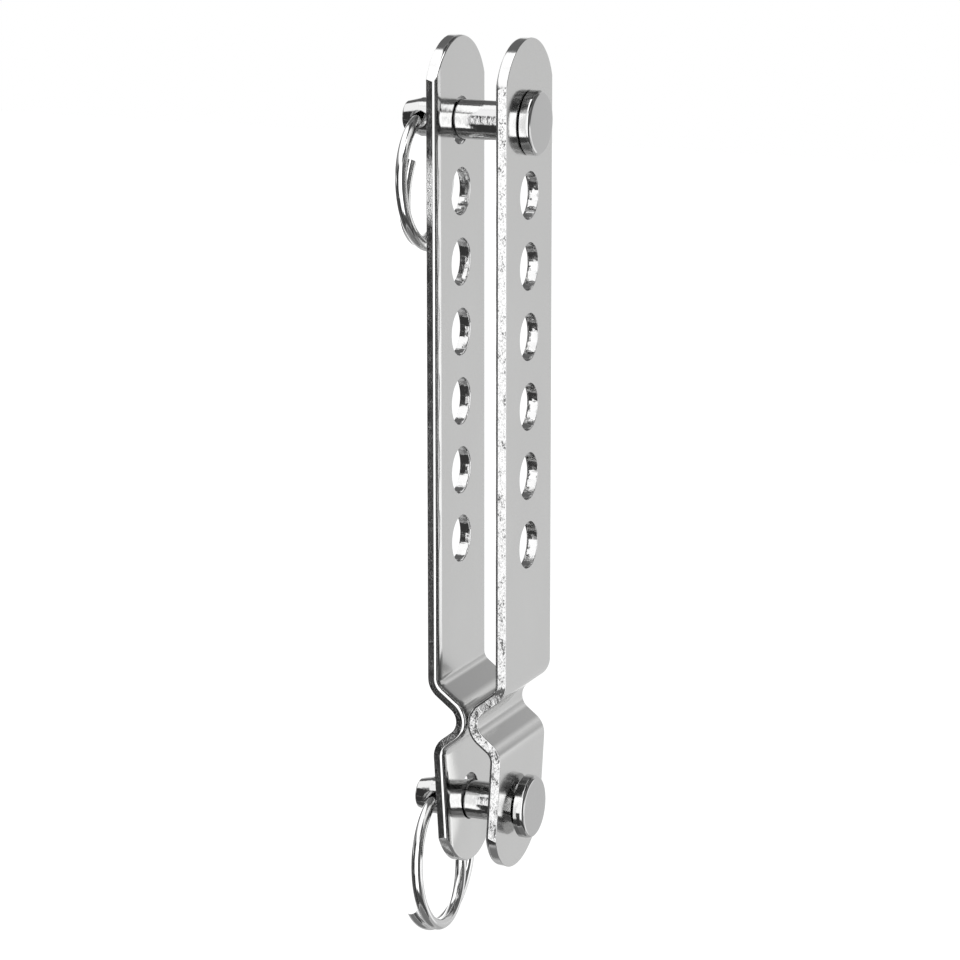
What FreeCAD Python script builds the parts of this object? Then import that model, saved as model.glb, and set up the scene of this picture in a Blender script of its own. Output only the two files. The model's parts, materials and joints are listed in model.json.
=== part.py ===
import FreeCAD, Part
import math
import os

# A chainplate of the stay adjuster pattern: two bent steel strips, face to face, with a fork for the
# stay at the top and a short clevis for the deck fitting at the bottom. A clevis pin crosses each end
# and a split ring through its tip keeps it there.
# Millimetres. The origin is on the lower pin's axis, midway between the plates. X runs across the
# plates towards the pin heads, Y across the width of the strips, Z up along them.

# Plates
plate_thickness = 1.5
plate_width = 15.3
right_end_rise = 5.66       # height of each rounded end above the corners where it meets the sides
left_end_rise = 5.05        # the left strip is cut a little flatter
edge_round = 0.6            # rolled inner edge along both sides of a strip
fork_gap = 7.8              # clear space between the plates above the waist
clevis_gap = 5.4            # clear space between the lower ears at the pin's height
ear_taper = 3.3             # degrees by which each lower ear leans inward on its way down
slant_angle = 52.0          # degrees from upright of the strips on both sides of the waist
waist_gap = 0.04            # what is left between the plates where they meet
waist_inner_radius = 3.5    # on the side where the plates meet
bend_inner_radius = 1.5     # of the two other bends
corner_break = 0.1          # small chamfer round the rims of the holes

# Holes, measured from the centre of the lower pin's hole
hole_diameter = 6.0
hole_pitch = 9.0
hole_count = 7              # in the fork, the upper pin's hole included
lowest_fork_hole = 34.5
waist_height = 12.2
top_margin = 10.7           # from the top hole's centre to the end of the plate
bottom_margin = 8.5         # from the bottom hole's centre to the end of the plate

# Clevis pins
pin_diameter = 5.0
pin_play = 0.10             # left under the lower pin where it bears in its holes
upper_pin_lift = 0.15       # of the upper pin above the middle of its holes
head_diameter = 8.2
head_thickness = 1.5
head_round = 0.5            # outer edge of the head
head_back_chamfer = 0.1
lead_in_length = 2.2        # taper at the tip
lead_in_depth = 0.5
tip_round = 0.3
countersink_depth = 0.3     # depth and width of the mouths of the cross hole
upper_head_play = 0.1       # between the head and the plate
lower_head_play = 0.44
upper_tip_margin = 2.4      # from the cross hole's centre to the tip
lower_tip_margin = 2.5

# Split rings, coils of one and a half turns of round wire
wire_diameter = 1.5
upper_ring_radius = 8.15
lower_ring_radius = 9.0
upper_ring_play = 1.15      # between the strand beside the cross hole and the plate
lower_ring_play = 0.85
cross_hole_play = 0.2       # round the wire in the cross hole

# How each ring hangs. Angles run round the coil in degrees, 0 at its bottom and 180 in the cross hole.
# Growth, drift, curl and spread are in wire diameters for each turn, tilts in wire diameters over the
# ring's radius for each turn, so that the strands stay side by side. The strand in the hole is off its
# centre by a share of the hole's play.
upper_coil = {
    "start": -115,
    "end": 425,
    "lean": -1.7,
    "off_centre": 0.9,
    "growth": 0.28,
    "drift": (-0.75, -0.75, 0.0),
    "lean_gain": -1.0,
    "yaw_gain": -0.23,
    "curl": 0.0,
    "spread": 0.0,
}
lower_coil = {
    "start": -38,
    "end": 500,
    "lean": -0.25,
    "off_centre": 1.0,
    "growth": -1.06,
    "drift": (0.0, -0.21, -0.32),
    "lean_gain": -0.54,
    "yaw_gain": 1.04,
    "curl": 1.27,
    "spread": -0.33,
}
ring_step = 30              # degrees between the points of a coil
sprung_angle = 70           # degrees of the lower ring's first end that are sprung out of round

# Heights and widths that follow
lower_hole_z = (hole_diameter - pin_diameter) / 2 - pin_play
waist_z = lower_hole_z + waist_height
fork_holes_z = [lower_hole_z + lowest_fork_hole + hole_pitch * i for i in range(hole_count)]
upper_pin_z = fork_holes_z[-1] + upper_pin_lift
top_z = fork_holes_z[-1] + top_margin
bottom_z = lower_hole_z - bottom_margin
fork_middle_x = (fork_gap + plate_thickness) / 2
fork_outer_x = fork_gap / 2 + plate_thickness
ear_slope = math.tan(math.radians(ear_taper))
ear_skin = plate_thickness / math.cos(math.radians(ear_taper))
ear_middle_x = (clevis_gap + ear_skin) / 2
ear_outer_x = clevis_gap / 2 + ear_skin

# The wire bows across the pin, so the cross hole is wider than the wire by that bow and its play
wire_bow = upper_ring_radius - math.sqrt(upper_ring_radius ** 2 - (pin_diameter / 2) ** 2)
cross_hole_diameter = wire_diameter + wire_bow + 2 * cross_hole_play
upper_cross_hole_x = -(fork_outer_x + 1.5 * wire_diameter + upper_ring_play)
lower_cross_hole_x = -(ear_outer_x + 1.5 * wire_diameter + lower_ring_play)


def vec(x, y, z):
    return FreeCAD.Vector(x, y, z)


def cylinder(radius, start, end):
    """Round bar from one point to another."""
    along = end - start
    return Part.makeCylinder(radius, along.Length, start, along)


def cone(start_radius, finish_radius, start, end):
    """Cone or its frustum from one point to another."""
    along = end - start
    return Part.makeCone(start_radius, finish_radius, along.Length, start, along)


def strip_corners():
    """Corners of the strip's middle line in the XZ plane, and the middle radius at each bend."""
    waist_radius = waist_inner_radius - plate_thickness / 2
    bend_radius = bend_inner_radius + plate_thickness / 2
    slant = math.radians(slant_angle)
    waist_x = (waist_gap + plate_thickness) / 2 - waist_radius * (1 / math.cos(slant) - 1)
    fork_bend_z = waist_z + (fork_middle_x - waist_x) / math.tan(slant)
    run = math.tan(slant)
    ear_bend_z = (waist_x + run * waist_z - ear_middle_x) / (run + ear_slope)
    below = bottom_z - plate_thickness
    corners = [
        vec(fork_middle_x, 0, top_z + plate_thickness),
        vec(fork_middle_x, 0, fork_bend_z),
        vec(waist_x, 0, waist_z),
        vec(ear_middle_x + ear_slope * ear_bend_z, 0, ear_bend_z),
        vec(ear_middle_x + ear_slope * below, 0, below),
    ]
    return corners, [bend_radius, waist_radius, bend_radius]


def side_of(direction):
    """Sideways direction in the XZ plane, towards +X for a line that runs down."""
    return vec(-direction.z, 0, direction.x)


def strip_side(corners, radii, distance):
    """Edges of the middle line moved sideways, with its bends kept concentric."""
    runs = [(b - a).normalize() for a, b in zip(corners, corners[1:])]
    point = corners[0] + side_of(runs[0]) * distance
    edges = []
    for corner, before, after, radius in zip(corners[1:], runs, runs[1:], radii):
        sides = side_of(before) + side_of(after)
        moved = corner + sides * (distance / (1 + before.dot(after)))
        inward = after - before
        outside = inward.dot(side_of(before)) < 0
        arc_radius = radius + distance if outside else radius - distance
        half_turn = before.getAngle(after) / 2
        reach = arc_radius * math.tan(half_turn)
        middle = moved + inward.normalize() * (arc_radius / math.cos(half_turn) - arc_radius)
        start = moved - before * reach
        end = moved + after * reach
        edges.append(Part.LineSegment(point, start).toShape())
        edges.append(Part.Arc(start, middle, end).toShape())
        point = end
    last = corners[-1] + side_of(runs[-1]) * distance
    edges.append(Part.LineSegment(point, last).toShape())
    return edges


def bent_strip():
    """The strip before its ends are cut round and its holes are punched."""
    corners, radii = strip_corners()
    outer = strip_side(corners, radii, plate_thickness / 2)
    inner = strip_side(corners, radii, -plate_thickness / 2)
    top = Part.LineSegment(outer[0].firstVertex().Point, inner[0].firstVertex().Point).toShape()
    bottom = Part.LineSegment(outer[-1].lastVertex().Point, inner[-1].lastVertex().Point).toShape()
    profile = Part.Face(Part.Wire(Part.__sortEdges__(outer + inner + [top, bottom])))
    profile.translate(vec(0, -plate_width / 2, 0))
    strip = profile.extrude(vec(0, plate_width, 0))
    return strip.makeFillet(edge_round, side_edges(strip, inner))


def side_edges(strip, line):
    """Edges of the strip that follow a line of its profile along both sides."""
    chosen = []
    for side in (-1, 1):
        path = Part.Wire(line)
        path.translate(vec(0, side * plate_width / 2, 0))
        for edge in strip.Edges:
            middle = edge.valueAt((edge.FirstParameter + edge.LastParameter) / 2)
            if path.distToShape(Part.Vertex(middle))[0] < 1e-6:
                chosen.append(edge)
    return chosen


def end_outline(end_rise):
    """Prism beside the middle plane with the rounded outline of a strip's blank."""
    half = plate_width / 2
    top_left = vec(0, -half, top_z - end_rise)
    top_right = vec(0, half, top_z - end_rise)
    bottom_left = vec(0, -half, bottom_z + end_rise)
    bottom_right = vec(0, half, bottom_z + end_rise)
    edges = [
        Part.Arc(top_left, vec(0, 0, top_z), top_right).toShape(),
        Part.LineSegment(top_right, bottom_right).toShape(),
        Part.Arc(bottom_right, vec(0, 0, bottom_z), bottom_left).toShape(),
        Part.LineSegment(bottom_left, top_left).toShape(),
    ]
    outline = Part.Face(Part.Wire(edges))
    return outline.extrude(vec(2 * fork_outer_x, 0, 0))


def plate_hole(z, inner_x, outer_x):
    """A punched hole along X with both rims broken."""
    radius = hole_diameter / 2
    reach = plate_thickness
    hole = cylinder(radius, vec(inner_x - reach, 0, z), vec(outer_x + reach, 0, z))
    wide = radius + corner_break
    rims = [
        cone(wide, radius, vec(inner_x, 0, z), vec(inner_x + corner_break, 0, z)),
        cone(wide, radius, vec(outer_x, 0, z), vec(outer_x - corner_break, 0, z)),
    ]
    return hole.fuse(rims)


def right_hand_plate(end_rise):
    plate = bent_strip().common(end_outline(end_rise))
    fork_inner_x = fork_gap / 2
    holes = [plate_hole(z, fork_inner_x, fork_outer_x) for z in fork_holes_z]
    bore = cylinder(hole_diameter / 2, vec(0, 0, lower_hole_z), vec(fork_outer_x, 0, lower_hole_z))
    return plate.cut(holes + [bore])


def clevis_pin(head_back_x, cross_hole_x, tip_margin, z):
    """Turned pin along X with its head on the +X side and a cross hole along Y near its tip."""
    tip_x = cross_hole_x - tip_margin
    face_x = head_back_x + head_thickness
    shaft = pin_diameter / 2
    head = head_diameter / 2
    tip = shaft - lead_in_depth
    turn = math.sqrt(0.5)
    head_middle = vec(face_x - head_round * (1 - turn), 0, head - head_round * (1 - turn))
    tip_middle = vec(tip_x + tip_round * (1 - turn), 0, tip - tip_round * (1 - turn))
    head_start = vec(face_x, 0, head - head_round)
    head_end = vec(face_x - head_round, 0, head)
    tip_start = vec(tip_x + tip_round, 0, tip)
    tip_end = vec(tip_x, 0, tip - tip_round)
    rim = [
        head_end,
        vec(head_back_x + head_back_chamfer, 0, head),
        vec(head_back_x, 0, head - head_back_chamfer),
        vec(head_back_x, 0, shaft),
        vec(tip_x + lead_in_length, 0, shaft),
        tip_start,
    ]
    edges = [
        Part.LineSegment(vec(face_x, 0, 0), head_start).toShape(),
        Part.Arc(head_start, head_middle, head_end).toShape(),
    ]
    edges += [Part.LineSegment(a, b).toShape() for a, b in zip(rim, rim[1:])]
    edges += [
        Part.Arc(tip_start, tip_middle, tip_end).toShape(),
        Part.LineSegment(tip_end, vec(tip_x, 0, 0)).toShape(),
        Part.LineSegment(vec(tip_x, 0, 0), vec(face_x, 0, 0)).toShape(),
    ]
    pin = Part.Face(Part.Wire(edges)).revolve(vec(0, 0, 0), vec(1, 0, 0), 360)
    pin = pin.cut(cross_hole(cross_hole_x))
    pin.translate(vec(0, 0, z))
    return pin


def cross_hole(x):
    """Hole along Y across a pin on the X axis, countersunk at both mouths."""
    radius = cross_hole_diameter / 2
    shaft = pin_diameter / 2
    hole = cylinder(radius, vec(x, -pin_diameter, 0), vec(x, pin_diameter, 0))
    mouths = []
    for side in (-1, 1):
        inside = vec(x, side * (shaft - countersink_depth), 0)
        outside = vec(x, side * (shaft + countersink_depth), 0)
        mouths.append(cone(radius, radius + 2 * countersink_depth, inside, outside))
    return hole.fuse(mouths)


def ring_point(angle, radius, coil):
    """Point of a coil that hangs from the origin, which lies in the middle of its strand there."""
    turns = (angle - 180) / 360
    drift = wire_diameter * turns
    sprung = wire_diameter * max(0, 1 - (angle - coil["start"]) / sprung_angle) ** 2
    reach = radius + coil["growth"] * drift - coil["curl"] * sprung
    around = math.radians(angle)
    drift_x, drift_y, drift_z = [share * drift for share in coil["drift"]]
    point = vec(
        drift_x + coil["spread"] * sprung,
        drift_y + reach * math.sin(around),
        drift_z - reach * math.cos(around) - radius)
    tilt = math.degrees(wire_diameter / radius) * turns
    lean = FreeCAD.Rotation(vec(0, 1, 0), coil["lean"] + coil["lean_gain"] * tilt)
    yaw = FreeCAD.Rotation(vec(0, 0, 1), coil["yaw_gain"] * tilt)
    return yaw.multVec(lean.multVec(point))


def split_ring(coil, radius, x, z):
    """Round wire coiled one and a half turns, with one strand through the cross hole at x and z."""
    start, end = coil["start"], coil["end"]
    spans = round((end - start) / ring_step)
    angles = [start + (end - start) * i / spans for i in range(spans + 1)]
    hang = vec(x + coil["off_centre"] * cross_hole_play, 0, z + wire_bow / 2)
    curve = Part.BSplineCurve()
    curve.interpolate([ring_point(angle, radius, coil) + hang for angle in angles])
    section = Part.makeCircle(wire_diameter / 2, curve.StartPoint, curve.tangent(curve.FirstParameter)[0])
    return Part.Wire(curve.toShape()).makePipeShell([Part.Wire(section)], True, True)


def build():
    upper_head_back = fork_outer_x + upper_head_play
    lower_head_back = ear_outer_x + ear_slope * head_diameter / 2 + lower_head_play
    upper_pin = clevis_pin(upper_head_back, upper_cross_hole_x, upper_tip_margin, upper_pin_z)
    lower_pin = clevis_pin(lower_head_back, lower_cross_hole_x, lower_tip_margin, 0)
    return {
        "right_plate": right_hand_plate(right_end_rise),
        "left_plate": right_hand_plate(left_end_rise).mirror(vec(0, 0, 0), vec(1, 0, 0)),
        "upper_clevis_pin": upper_pin,
        "lower_clevis_pin": lower_pin,
        "upper_split_ring": split_ring(upper_coil, upper_ring_radius, upper_cross_hole_x, upper_pin_z),
        "lower_split_ring": split_ring(lower_coil, lower_ring_radius, lower_cross_hole_x, 0),
    }


os.makedirs("parts", exist_ok=True)
for node, shape in build().items():
    shape.exportStep("parts/" + node + ".step")
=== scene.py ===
import json
import math

import bmesh
import bpy
import numpy as np
from mathutils import Matrix, Vector
from mathutils.geometry import tessellate_polygon


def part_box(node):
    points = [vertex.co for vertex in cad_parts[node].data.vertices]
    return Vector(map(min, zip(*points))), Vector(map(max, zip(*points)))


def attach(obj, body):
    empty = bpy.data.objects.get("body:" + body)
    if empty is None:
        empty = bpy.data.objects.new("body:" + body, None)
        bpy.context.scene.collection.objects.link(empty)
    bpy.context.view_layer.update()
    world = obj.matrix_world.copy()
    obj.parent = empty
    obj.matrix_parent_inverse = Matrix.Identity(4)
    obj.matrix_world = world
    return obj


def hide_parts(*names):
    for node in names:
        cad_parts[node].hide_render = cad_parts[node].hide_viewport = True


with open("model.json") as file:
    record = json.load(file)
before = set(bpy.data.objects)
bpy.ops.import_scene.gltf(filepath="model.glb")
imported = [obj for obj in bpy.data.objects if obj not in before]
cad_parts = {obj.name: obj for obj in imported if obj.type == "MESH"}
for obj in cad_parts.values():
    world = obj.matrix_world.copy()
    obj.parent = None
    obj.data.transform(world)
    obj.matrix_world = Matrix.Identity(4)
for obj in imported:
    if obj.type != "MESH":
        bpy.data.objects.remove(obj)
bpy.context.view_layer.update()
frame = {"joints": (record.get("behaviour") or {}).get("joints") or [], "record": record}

# The chainplate: two polished strips, two clevis pins and two split rings, seen from the right of the
# strips' edges and a little above. Lengths are in metres, as in the frame, and angles in radians.
MM = 0.001
JOINTS = {joint["name"]: joint for joint in frame["joints"]}
FORK_HOLES = [mount for mount in frame["record"]["mounts"] if mount["name"].startswith("fork_hole")]
PLATE_LOW, PLATE_HIGH = [Vector(corner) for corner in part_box("right_plate")]

# Strips
THICKNESS = 1.5 * MM
HALF_WIDTH = PLATE_HIGH.y
TOP_Z = PLATE_HIGH.z
BOTTOM_Z = PLATE_LOW.z
FORK_MIDDLE_X = PLATE_HIGH.x - THICKNESS / 2
EAR_TAPER = math.radians(3.3)
CLEVIS_MIDDLE_X = 2.7 * MM + THICKNESS / math.cos(EAR_TAPER) / 2
SLANT = math.radians(52)
WAIST_Z = 12.6 * MM
WAIST_MIDDLE_X = 0.02 * MM + THICKNESS / 2
WAIST_RADIUS = 3.5 * MM - THICKNESS / 2
BEND_RADIUS = 1.5 * MM + THICKNESS / 2
RIGHT_END_RISE = 5.66 * MM
LEFT_END_RISE = 5.05 * MM
HOLE_RADIUS = FORK_HOLES[0]["dims"]["r_mm"] * MM
HOLE_PITCH = 9.0 * MM
LOWER_HOLE_Z = 0.4 * MM
LEFT_ROLL_ARCS = [             # of the left near inner edge: radius and lean at the end of each arc
    (0.5 * MM, math.radians(29)),
    (0.45 * MM, math.radians(62)),
    (1.2 * MM, math.radians(80)),
    (5.0 * MM, math.radians(90)),
]
RIGHT_ROLL_ARCS = [            # the same on the right, where the shear was sharper
    (0.42 * MM, math.radians(45)),
    (0.42 * MM, math.radians(90)),
]
FAR_ROLL = 0.4                 # size of the roll on the far edges' outer side, against the near one's
END_ROLL_DEPTH = 0.5 * MM      # of the rounded ends' inner rims
END_ROLL_WIDTH = 0.25 * MM
HOLE_ROLL_DEPTH = 0.3 * MM     # of the punched holes' inner rims
HOLE_ROLL_WIDTH = 0.07 * MM
TORN_TILT = math.radians(7)    # of the sheared part of the edges
HOLE_TILT = math.radians(3)    # of the torn part of the holes' walls
RIM = 0.08 * MM                # wear round every sharp edge
BEND_STEP = math.radians(4)
ROLL_STEPS = 6
WELD_DISTANCE = 1e-4 * MM

# Clevis pins
PIN_RADIUS = 2.5 * MM
HEAD_RADIUS = 4.1 * MM
HEAD_ROUND = 0.5 * MM
HEAD_CHAMFER = 0.1 * MM
HEAD_THICKNESS = 1.5 * MM
LEAD_IN_LENGTH = 2.2 * MM
LEAD_IN_DEPTH = 0.5 * MM
TIP_ROUND = 0.3 * MM
CROSS_HOLE_RADIUS = 1.14 * MM
COUNTERSINK = 0.3 * MM
PIN_SIDES = 160
SHARP_EDGE = math.radians(28)

# Split rings
WIRE = 1.5 * MM
UPPER_RING_RADIUS = 8.15 * MM
LOWER_RING_RADIUS = 9.0 * MM
SPRUNG_ANGLE = math.radians(70)
RING_SIDES = 32
RING_POINTS = 280

# Wear
RUBBED_BOTTOM = (76.4 * MM, 78.6 * MM)     # heights over which the rubbed stretch beside the ring begins
RUBBED_TOP = (85.5 * MM, 82.5 * MM)        # and ends
RUBBED_SIDE = (0.0, -1.0 * MM)             # X over which it begins, so that only the left strip has it
HEAD_SIDE = (4.9 * MM, 4.6 * MM)           # X over which the pins' shafts end at the heads
TIP_SIDE = (-9.7 * MM, -9.4 * MM)          # and at the tips

# Camera, worked out from the strips' corners, holes and pins
LENS = 142.0
SENSOR_WIDTH = 36.0
SHIFT_X = -0.00535
CAMERA_AZIMUTH = math.radians(22.742)
CAMERA_ELEVATION = math.radians(12.898)
CAMERA_DISTANCE = 484.05 * MM
CAMERA_TARGET = Vector((-0.62, 0, 42.86)) * MM

# Studio
CARD_CENTRE = Vector((0, 0, 45 * MM))
CARD_DISTANCE = 0.7
CARD_STEP = 0.002              # by which each card stands behind the one before it in the list
CARD_COLUMNS = 48
CARD_ROWS = 24
FLOOR_SIZE = 6.0
FLOOR_HEIGHT = -0.8
WORLD_LIGHT = 0.6              # of the world on surfaces, against 1 where it is seen
FLOOR_GLOW = 0.58              # of the floor where it is seen, on top of the light that it sends back


def frame_point(name):
    """Place of a joint in the frame."""
    return Vector(JOINTS[name]["pos_m"])


def heading_vector(heading):
    return Vector((math.cos(heading), math.sin(heading)))


class BentLine:
    """Middle line of a bent strip in the XZ plane, in straight runs and arcs, by length from its top."""

    def __init__(self, corners, radii):
        corners = [Vector(corner) for corner in corners]
        self.runs = []
        self.bends = []
        point, length = corners[0], 0.0
        first = corners[1] - corners[0]
        heading = math.atan2(first.y, first.x)
        for corner, following, radius in zip(corners[1:], corners[2:], radii):
            onward = following - corner
            turn = math.remainder(math.atan2(onward.y, onward.x) - heading, math.tau)
            reach = radius * math.tan(abs(turn) / 2)
            self.runs.append((length, point, heading, 0.0))
            length += (corner - point).length - reach
            point = corner - heading_vector(heading) * reach
            self.runs.append((length, point, heading, math.copysign(1 / radius, turn)))
            self.bends.append((length, length + radius * abs(turn), abs(turn), radius))
            length += radius * abs(turn)
            heading += turn
            point = corner + heading_vector(heading) * reach
        self.runs.append((length, point, heading, 0.0))
        self.length = length + (corners[-1] - point).length

    def at(self, lengths):
        """Points and headings at an array of lengths."""
        points = np.zeros((len(lengths), 2))
        headings = np.zeros(len(lengths))
        starts = [run[0] for run in self.runs[1:]] + [math.inf]
        for (start, point, heading, curvature), end in zip(self.runs, starts):
            inside = (lengths >= start) & (lengths < end) if start else lengths < end
            along = lengths[inside] - start
            headings[inside] = heading + curvature * along
            if curvature:
                across = (np.sin(headings[inside]) - math.sin(heading)) / curvature
                up = (math.cos(heading) - np.cos(headings[inside])) / curvature
            else:
                across, up = along * math.cos(heading), along * math.sin(heading)
            points[inside, 0] = point.x + across
            points[inside, 1] = point.y + up
        return points, headings

    def strain(self, length):
        """How hard the strip is bent at a length: 1 in the middle of a tight bend and 0 outside."""
        for start, end, _, radius in self.bends:
            if start < length < end:
                middle = math.sin(math.pi * (length - start) / (end - start)) ** 0.5
                return middle * (BEND_RADIUS / radius) ** 2
        return 0.0

    def stations(self):
        """Lengths at which the strip's mesh is divided, close together in the bends."""
        lengths = []
        for start, end, turn, _ in self.bends:
            lengths += list(np.linspace(start, end, round(turn / BEND_STEP) + 1))
        return lengths


def strip_line():
    """Middle line of the right strip."""
    waist_x = WAIST_MIDDLE_X - WAIST_RADIUS * (1 / math.cos(SLANT) - 1)
    run = math.tan(SLANT)
    slope = math.tan(EAR_TAPER)
    fork_bend_z = WAIST_Z + (FORK_MIDDLE_X - waist_x) / run
    ear_bend_z = (waist_x + run * WAIST_Z - CLEVIS_MIDDLE_X) / (run + slope)
    corners = [
        (FORK_MIDDLE_X, TOP_Z),
        (FORK_MIDDLE_X, fork_bend_z),
        (waist_x, WAIST_Z),
        (CLEVIS_MIDDLE_X + slope * ear_bend_z, ear_bend_z),
        (CLEVIS_MIDDLE_X + slope * BOTTOM_Z, BOTTOM_Z),
    ]
    return BentLine(corners, [BEND_RADIUS, WAIST_RADIUS, BEND_RADIUS])


def rolled(depth, height, width):
    """Inset of a rounding and the lean of its normal towards the face, at a depth below that face."""
    share = max(0.0, 1 - depth / height)
    inset = width * (1 - math.sqrt(1 - share * share))
    return inset, math.atan2(share / height, (1 - inset / width) / width)


class Edges:
    """Profiles of a strip's long edges, rolled in arcs on one side and torn on the other."""

    def __init__(self, arcs):
        height, inset, lean = 0.0, 0.0, 0.0
        rows = [(height, inset, lean)]
        for radius, end in arcs:
            for angle in np.linspace(lean, end, ROLL_STEPS + 1)[1:]:
                rise = radius * (math.sin(angle) - math.sin(lean))
                rows.append((height + rise, inset + radius * (math.cos(lean) - math.cos(angle)), angle))
            height, inset, lean = rows[-1]
        self.roll = np.array(rows)
        self.rolled_depth = self.roll[-1, 0]

    def roll_at(self, height):
        """Inset and lean of the roll at a height over the torn part."""
        return [float(np.interp(height, self.roll[:, 0], self.roll[:, column])) for column in (1, 2)]

    def near(self, depth):
        """Inset of the near edge and the lean of its normal outward, by depth below the inner face."""
        if depth < self.rolled_depth:
            inset, lean = self.roll_at(self.rolled_depth - depth)
            return inset, -lean
        torn = (depth - self.rolled_depth) * math.tan(TORN_TILT)
        inset, lean = rolled(THICKNESS - depth, RIM, RIM)
        return torn + inset, max(TORN_TILT, lean)

    def far(self, depth):
        """The same for the far edge, which is sheared the other way round and less rolled."""
        below = (THICKNESS - depth) / FAR_ROLL
        if below < self.rolled_depth:
            inset, lean = self.roll_at(self.rolled_depth - below)
            return FAR_ROLL * inset, lean
        inset, lean = rolled(depth, RIM, RIM)
        return inset, -lean

    def profile(self, side, depth):
        """Inset and lean of a long edge. side is -1 on the near edge and 1 on the far one."""
        return self.near(depth) if side < 0 else self.far(depth)

    def torn(self, side):
        """Depths between which a long edge is torn."""
        if side < 0:
            return self.rolled_depth, THICKNESS - RIM
        return RIM, THICKNESS - FAR_ROLL * self.rolled_depth

    def depths(self):
        """Depths below the inner face at which the walls are divided."""
        near = [self.rolled_depth - height for height in self.roll[:, 0]]
        far = [THICKNESS - FAR_ROLL * depth for depth in near[::3]]
        ends = [END_ROLL_DEPTH * share for share in (0.8, 0.93, 1.0)]
        holes = [HOLE_ROLL_DEPTH * share for share in (0.15, 0.55, 1.0)]
        square = [self.rolled_depth + RIM, THICKNESS / 2 + RIM / 2]
        outer = [THICKNESS - RIM, THICKNESS - 0.3 * RIM, THICKNESS]
        return sorted(set(near + far + ends + holes + square + outer))


def end_profile(depth):
    """The same for the rounded ends, which are rolled like the sides but cut square."""
    near, near_lean = rolled(depth, END_ROLL_DEPTH, END_ROLL_WIDTH)
    far, far_lean = rolled(THICKNESS - depth, RIM, RIM)
    return near + far, far_lean - near_lean


def hole_profile(depth):
    """The same for a hole's wall, punched from the inner face."""
    near, near_lean = rolled(depth, HOLE_ROLL_DEPTH, HOLE_ROLL_WIDTH)
    far, far_lean = rolled(THICKNESS - depth, RIM, 0.4 * RIM)
    torn = max(0.0, depth - THICKNESS / 2) * math.tan(HOLE_TILT)
    lean = max(HOLE_TILT, far_lean) if depth > THICKNESS / 2 else -near_lean
    return near + torn + far, lean


class Patchwork:
    """Faces of a strip as flat stock, in width, length and depth, each corner with its own normal."""

    def __init__(self):
        self.corners = []
        self.normals = []
        self.sizes = []
        self.finishes = []

    def face(self, corners, normals, finish):
        self.corners += corners
        self.normals += normals
        self.sizes.append(len(corners))
        self.finishes.append(finish)

    def wall(self, rows, finish_of):
        """Quads between rows of (point, normal), each row at one depth."""
        for row, below in zip(rows, rows[1:]):
            for a, b, c, d in zip(row, row[1:], below[1:], below):
                depth = (a[0][2] + c[0][2]) / 2
                self.face([a[0], b[0], c[0], d[0]], [a[1], b[1], c[1], d[1]], finish_of(depth))


def end_row(edges, tip, way, end_radius, depth, count=64):
    """Points and normals round one end of the strip. way is -1 at the top and 1 at the bottom."""
    centre = tip - way * end_radius
    inset, lean = end_profile(depth)
    radius = end_radius - inset
    halves = [HALF_WIDTH - edges.profile(side, depth)[0] for side in (-1, 1)]
    near, far = -math.asin(halves[0] / radius), math.asin(halves[1] / radius)
    row = []
    for angle in np.linspace(near, far, count):
        out = (math.sin(angle), way * math.cos(angle))
        point = (radius * out[0], centre + radius * out[1], depth)
        row.append((point, (out[0] * math.cos(lean), out[1] * math.cos(lean), math.sin(lean))))
    return row


def side_row(edges, side, lengths, depth):
    inset, lean = edges.profile(side, depth)
    normal = (side * math.cos(lean), 0.0, math.sin(lean))
    return [((side * (HALF_WIDTH - inset), length, depth), normal) for length in lengths]


def hole_row(length, depth, count=72):
    inset, lean = hole_profile(depth)
    row = []
    for angle in np.linspace(0, math.tau, count + 1):
        out = (math.cos(angle), math.sin(angle))
        point = ((HOLE_RADIUS + inset) * out[0], length + (HOLE_RADIUS + inset) * out[1], depth)
        row.append((point, (-out[0] * math.cos(lean), -out[1] * math.cos(lean), math.sin(lean))))
    return row


def fill(patches, outline, holes, normal):
    """Triangles of a flat region with holes."""
    loops = [outline] + [hole[:-1] for hole in holes]
    flat = [point for loop in loops for point in loop]
    for triangle in tessellate_polygon([[Vector(point) for point in loop] for loop in loops]):
        patches.face([flat[i] for i in triangle], [normal] * 3, "face")


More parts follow.
